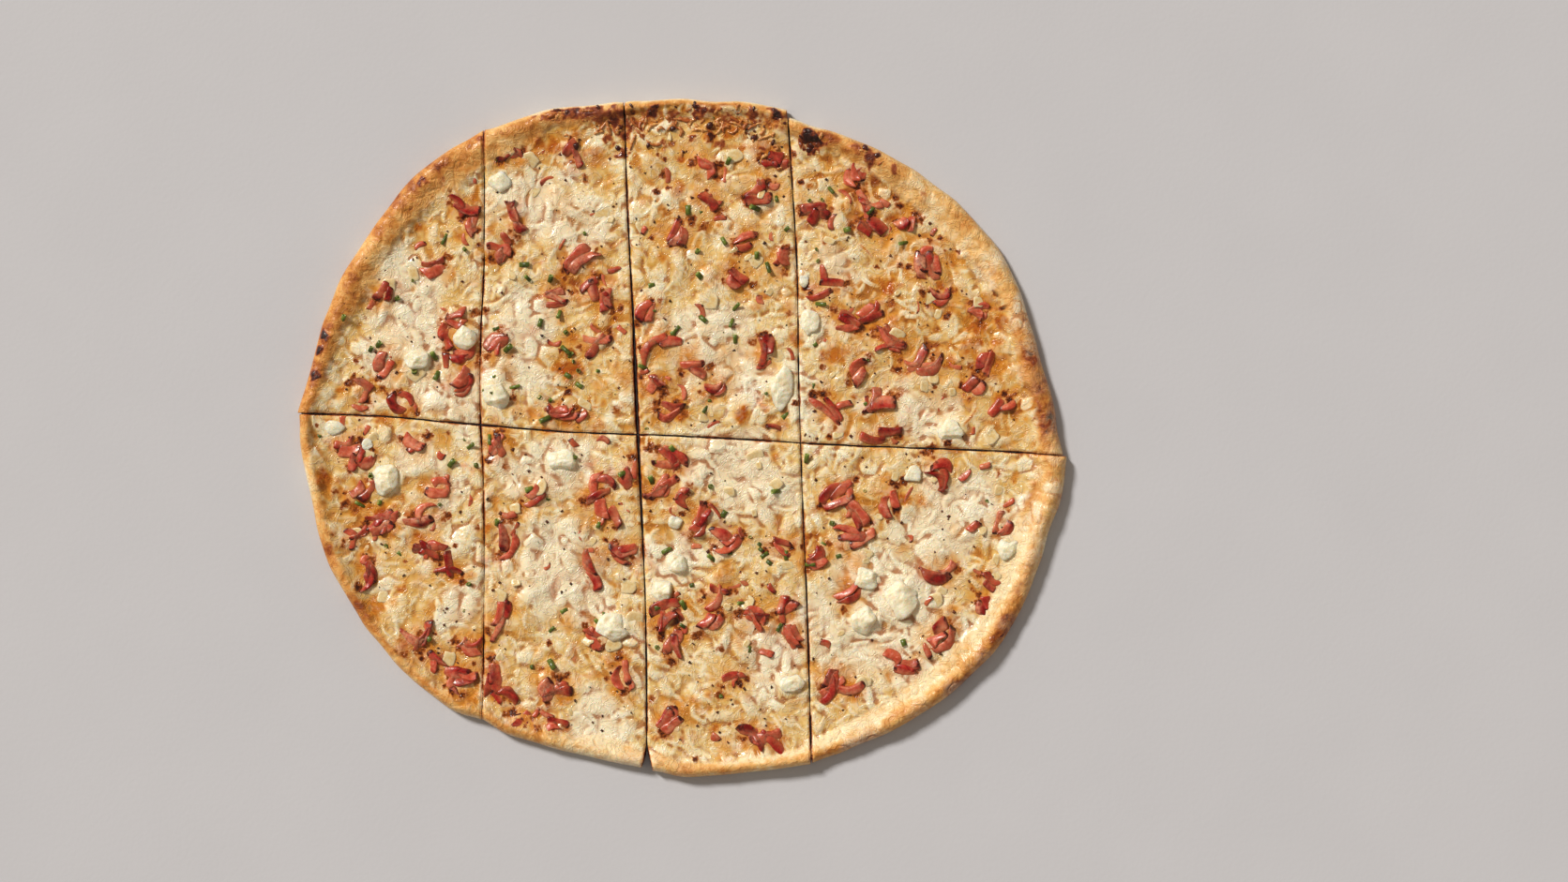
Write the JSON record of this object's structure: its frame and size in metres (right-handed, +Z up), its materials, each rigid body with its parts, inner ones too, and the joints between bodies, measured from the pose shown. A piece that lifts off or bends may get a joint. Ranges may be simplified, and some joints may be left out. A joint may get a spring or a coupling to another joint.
{
  "type": "flammkuchen",
  "caption": "Thin oval flatbread with cream, melted cheese, ham strips and chives, cut into slices that still lie together.",
  "frame": {"origin": "centre of the outline on the flat underside", "axes": "+X towards the right end of the long cut, +Y towards the far row of slices, +Z up out of the topping"},
  "size_m": [0.32, 0.2825, 0.0087],
  "materials": {
    "baked_slice": "baked dough with glossy melted cheese, browned in places",
    "cream": "moist satin"
  },
  "bodies": {
    "root": {"slice_1": "baked_slice", "slice_2": "baked_slice", "slice_3": "baked_slice", "slice_4": "baked_slice", "slice_5": "baked_slice", "slice_6": "baked_slice", "slice_7": "baked_slice", "slice_8": "baked_slice", "cream_1": "cream", "cream_2": "cream", "cream_3": "cream", "cream_4": "cream", "cream_5": "cream", "cream_6": "cream", "cream_7": "cream", "cream_8": "cream", "cream_9": "cream", "cream_10": "cream", "cream_11": "cream", "cream_12": "cream", "cream_13": "cream", "cream_14": "cream", "cream_15": "cream", "cream_16": "cream"}
  },
  "joints": []
}
